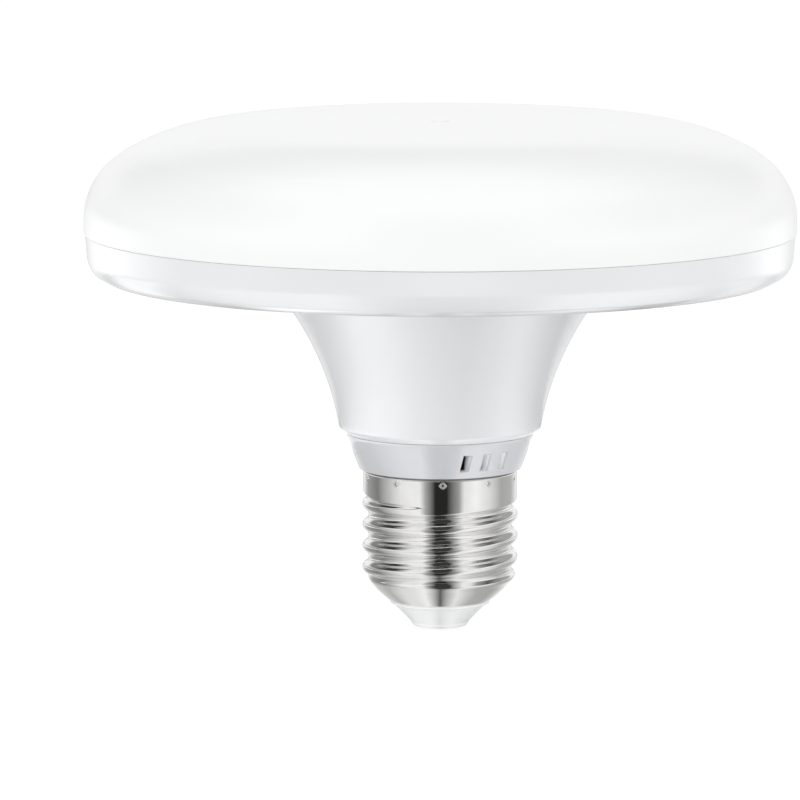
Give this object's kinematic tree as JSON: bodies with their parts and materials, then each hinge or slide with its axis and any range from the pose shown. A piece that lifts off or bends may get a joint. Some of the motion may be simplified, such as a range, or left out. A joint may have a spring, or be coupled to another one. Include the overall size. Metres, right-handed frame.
{
  "type": "ufo led bulb",
  "caption": "Wide flat LED lamp: opal dome diffuser on a shallow white pan with a flared neck, a vented collar and a nickel screw cap.",
  "frame": {"origin": "tip of the centre contact, on the lamp's axis", "axes": "+Z along the axis from the screw cap to the diffuser; -Y is the lamp's front, with the vents to the right of it"},
  "size_m": [0.12, 0.12, 0.0861],
  "materials": {
    "opal_diffuser": "opal polycarbonate, satin gloss",
    "white_housing": "moulded white plastic, soft gloss",
    "white_collar": "moulded white plastic, satin",
    "nickel_shell": "bright nickel plate on rolled sheet",
    "white_insulator": "moulded white plastic, satin",
    "tinned_contact": "tin plate, slightly worn",
    "spreader_aluminium": "plain pressed sheet",
    "white_board": "white solder mask on a metal core",
    "led_package": "white package with a yellow phosphor window",
    "screw_steel": "zinc plate",
    "terminal_plastic": "moulded white plastic",
    "circuit_board": "green solder mask",
    "capacitor_sleeve": "dark shrink sleeve",
    "film_capacitor": "yellow moulded case",
    "ferrite": "dark sintered ferrite",
    "copper_winding": "varnished copper wire",
    "chip_plastic": "black moulding compound",
    "resistor_coat": "blue-green coating",
    "varistor_coat": "blue epoxy dip",
    "red_wire": "insulated wire",
    "black_wire": "insulated wire",
    "brown_wire": "insulated wire",
    "blue_wire": "insulated wire"
  },
  "bodies": {
    "root": {"board_screws": "screw_steel", "board_terminal": "terminal_plastic", "bridge_rectifier": "chip_plastic", "bulk_capacitor": "capacitor_sleeve", "centre_contact": "tinned_contact", "dc_wire_negative": "black_wire", "dc_wire_positive": "red_wire", "diffuser": "opal_diffuser", "driver_board": "circuit_board", "driver_holder": "white_collar", "driver_ic": "chip_plastic", "fuse_resistor": "resistor_coat", "heat_spreader": "spreader_aluminium", "housing": "white_housing", "inductor_core": "ferrite", "inductor_winding": "copper_winding", "input_capacitor": "film_capacitor", "insulator": "white_insulator", "led_01": "led_package", "led_02": "led_package", "led_03": "led_package", "led_04": "led_package", "led_05": "led_package", "led_06": "led_package", "led_07": "led_package", "led_08": "led_package", "led_09": "led_package", "led_10": "led_package", "led_11": "led_package", "led_12": "led_package", "led_13": "led_package", "led_14": "led_package", "led_15": "led_package", "led_16": "led_package", "led_17": "led_package", "led_18": "led_package", "led_19": "led_package", "led_20": "led_package", "led_21": "led_package", "led_22": "led_package", "led_23": "led_package", "led_24": "led_package", "light_board": "white_board", "live_wire": "brown_wire", "neutral_wire": "blue_wire", "screw_shell": "nickel_shell", "varistor": "varistor_coat"}
  },
  "joints": []
}
